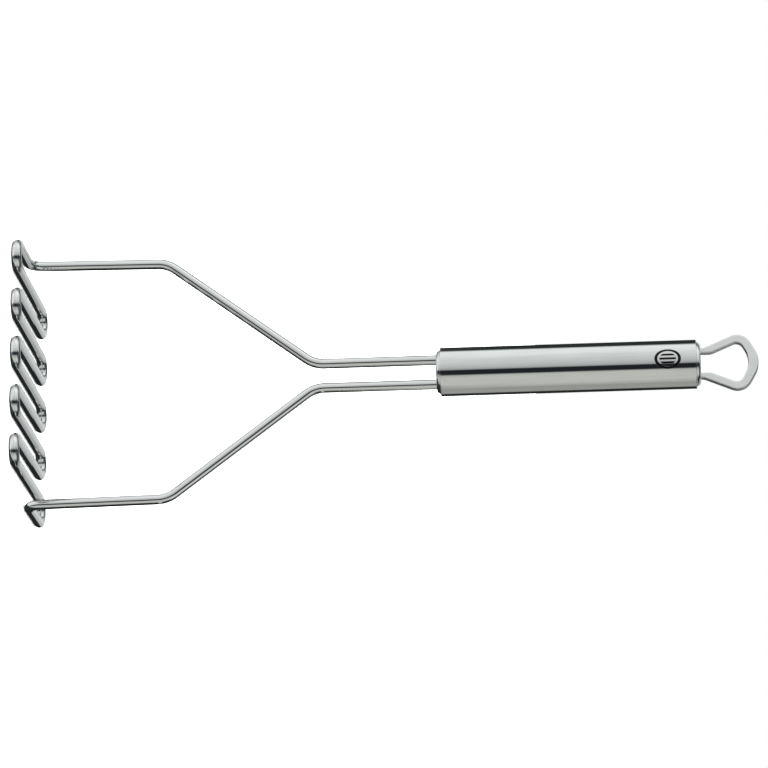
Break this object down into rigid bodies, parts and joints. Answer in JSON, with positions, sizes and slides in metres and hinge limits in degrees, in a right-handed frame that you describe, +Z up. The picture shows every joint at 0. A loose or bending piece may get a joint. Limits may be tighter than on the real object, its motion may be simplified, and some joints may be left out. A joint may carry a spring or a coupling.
{
  "type": "potato masher",
  "caption": "Wire masher with a flat zigzag mashing head, splayed wire arms, a capped tubular handle and a flat hanging loop, for pressing boiled potatoes and other soft food.",
  "frame": {"origin": "middle of the underside of the mashing head, where the masher rests when stood on its head", "axes": "+Z up along the handle towards the hanging loop, X across the runs of the head, Y along them"},
  "size_m": [0.102, 0.072, 0.29],
  "materials": {
    "polished_wire": "stainless steel wire, bright polished",
    "polished_tube": "stainless steel tube, mirror polished",
    "polished_cap": "stainless steel, mirror polished",
    "satin_loop": "stainless steel bar, tumbled to a soft shine",
    "weld_metal": "stainless weld metal, as welded"
  },
  "bodies": {
    "root": {"masher_wire": "polished_wire", "front_cap": "polished_cap", "handle_tube": "polished_tube", "rear_cap": "polished_cap", "hanging_loop": "satin_loop", "wire_welds": "weld_metal", "loop_welds": "weld_metal"}
  },
  "joints": []
}
